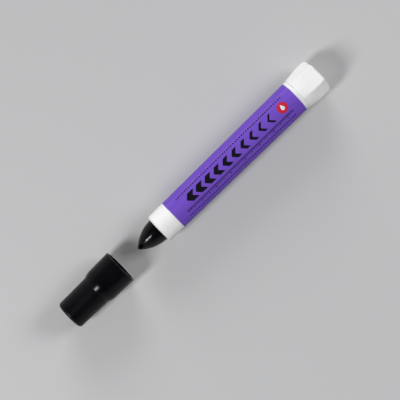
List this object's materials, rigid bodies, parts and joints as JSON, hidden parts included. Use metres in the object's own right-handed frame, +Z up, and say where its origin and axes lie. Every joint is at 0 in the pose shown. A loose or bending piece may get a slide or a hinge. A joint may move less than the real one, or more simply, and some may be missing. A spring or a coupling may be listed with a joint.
{
  "type": "solid paint marker",
  "caption": "Twist-up solid paint marker: tapered barrel with a film label, a six-sided knob that winds a bullet-pointed paint stick in and out, and a stepped pull-off cap.",
  "frame": {"origin": "on the ground under the middle of the marker's whole length with the cap pulled off as pictured", "axes": "+X along the marker's axis from the knob to the cap, +Z up from the surface it lies on"},
  "size_m": [0.1768, 0.0198, 0.0196],
  "materials": {
    "barrel_plastic": "white moulded plastic, satin",
    "label_film": "purple printed film, glossy",
    "knob_plastic": "white moulded plastic, satin",
    "seal_rubber": "black rubber, matte",
    "screw_plastic": "natural moulded plastic",
    "carrier_plastic": "natural moulded plastic",
    "solid_paint": "cast solid paint, waxy gloss",
    "cap_plastic": "near-black moulded plastic, glossy skirt and satin end"
  },
  "bodies": {
    "barrel": {"barrel": "barrel_plastic", "label_film": "label_film"},
    "knob": {"twist_knob": "knob_plastic", "seal_ring": "seal_rubber", "feed_screw": "screw_plastic"},
    "stick": {"stick_carrier": "carrier_plastic", "paint_stick": "solid_paint"},
    "cap": {"cap": "cap_plastic"}
  },
  "joints": [
    {"name": "knob_twist", "type": "hinge", "parent": "barrel", "child": "knob", "pos_m": [-0.0844, 0, 0.00982], "axis": [1, 0, 0], "range_deg": [-1359, 540]},
    {"name": "stick_feed", "type": "slide", "parent": "barrel", "child": "stick", "axis": [1, 0, 0], "range_m": [-0.0151, 0.006]},
    {"name": "cap_slide", "type": "slide", "parent": "barrel", "child": "cap", "axis": [1, 0, 0], "range_m": [-0.041, 0.02]}
  ],
  "couplings": [
    {"joint": "stick_feed", "follows": "knob_twist", "m_per_rad": 0.00063662}
  ]
}
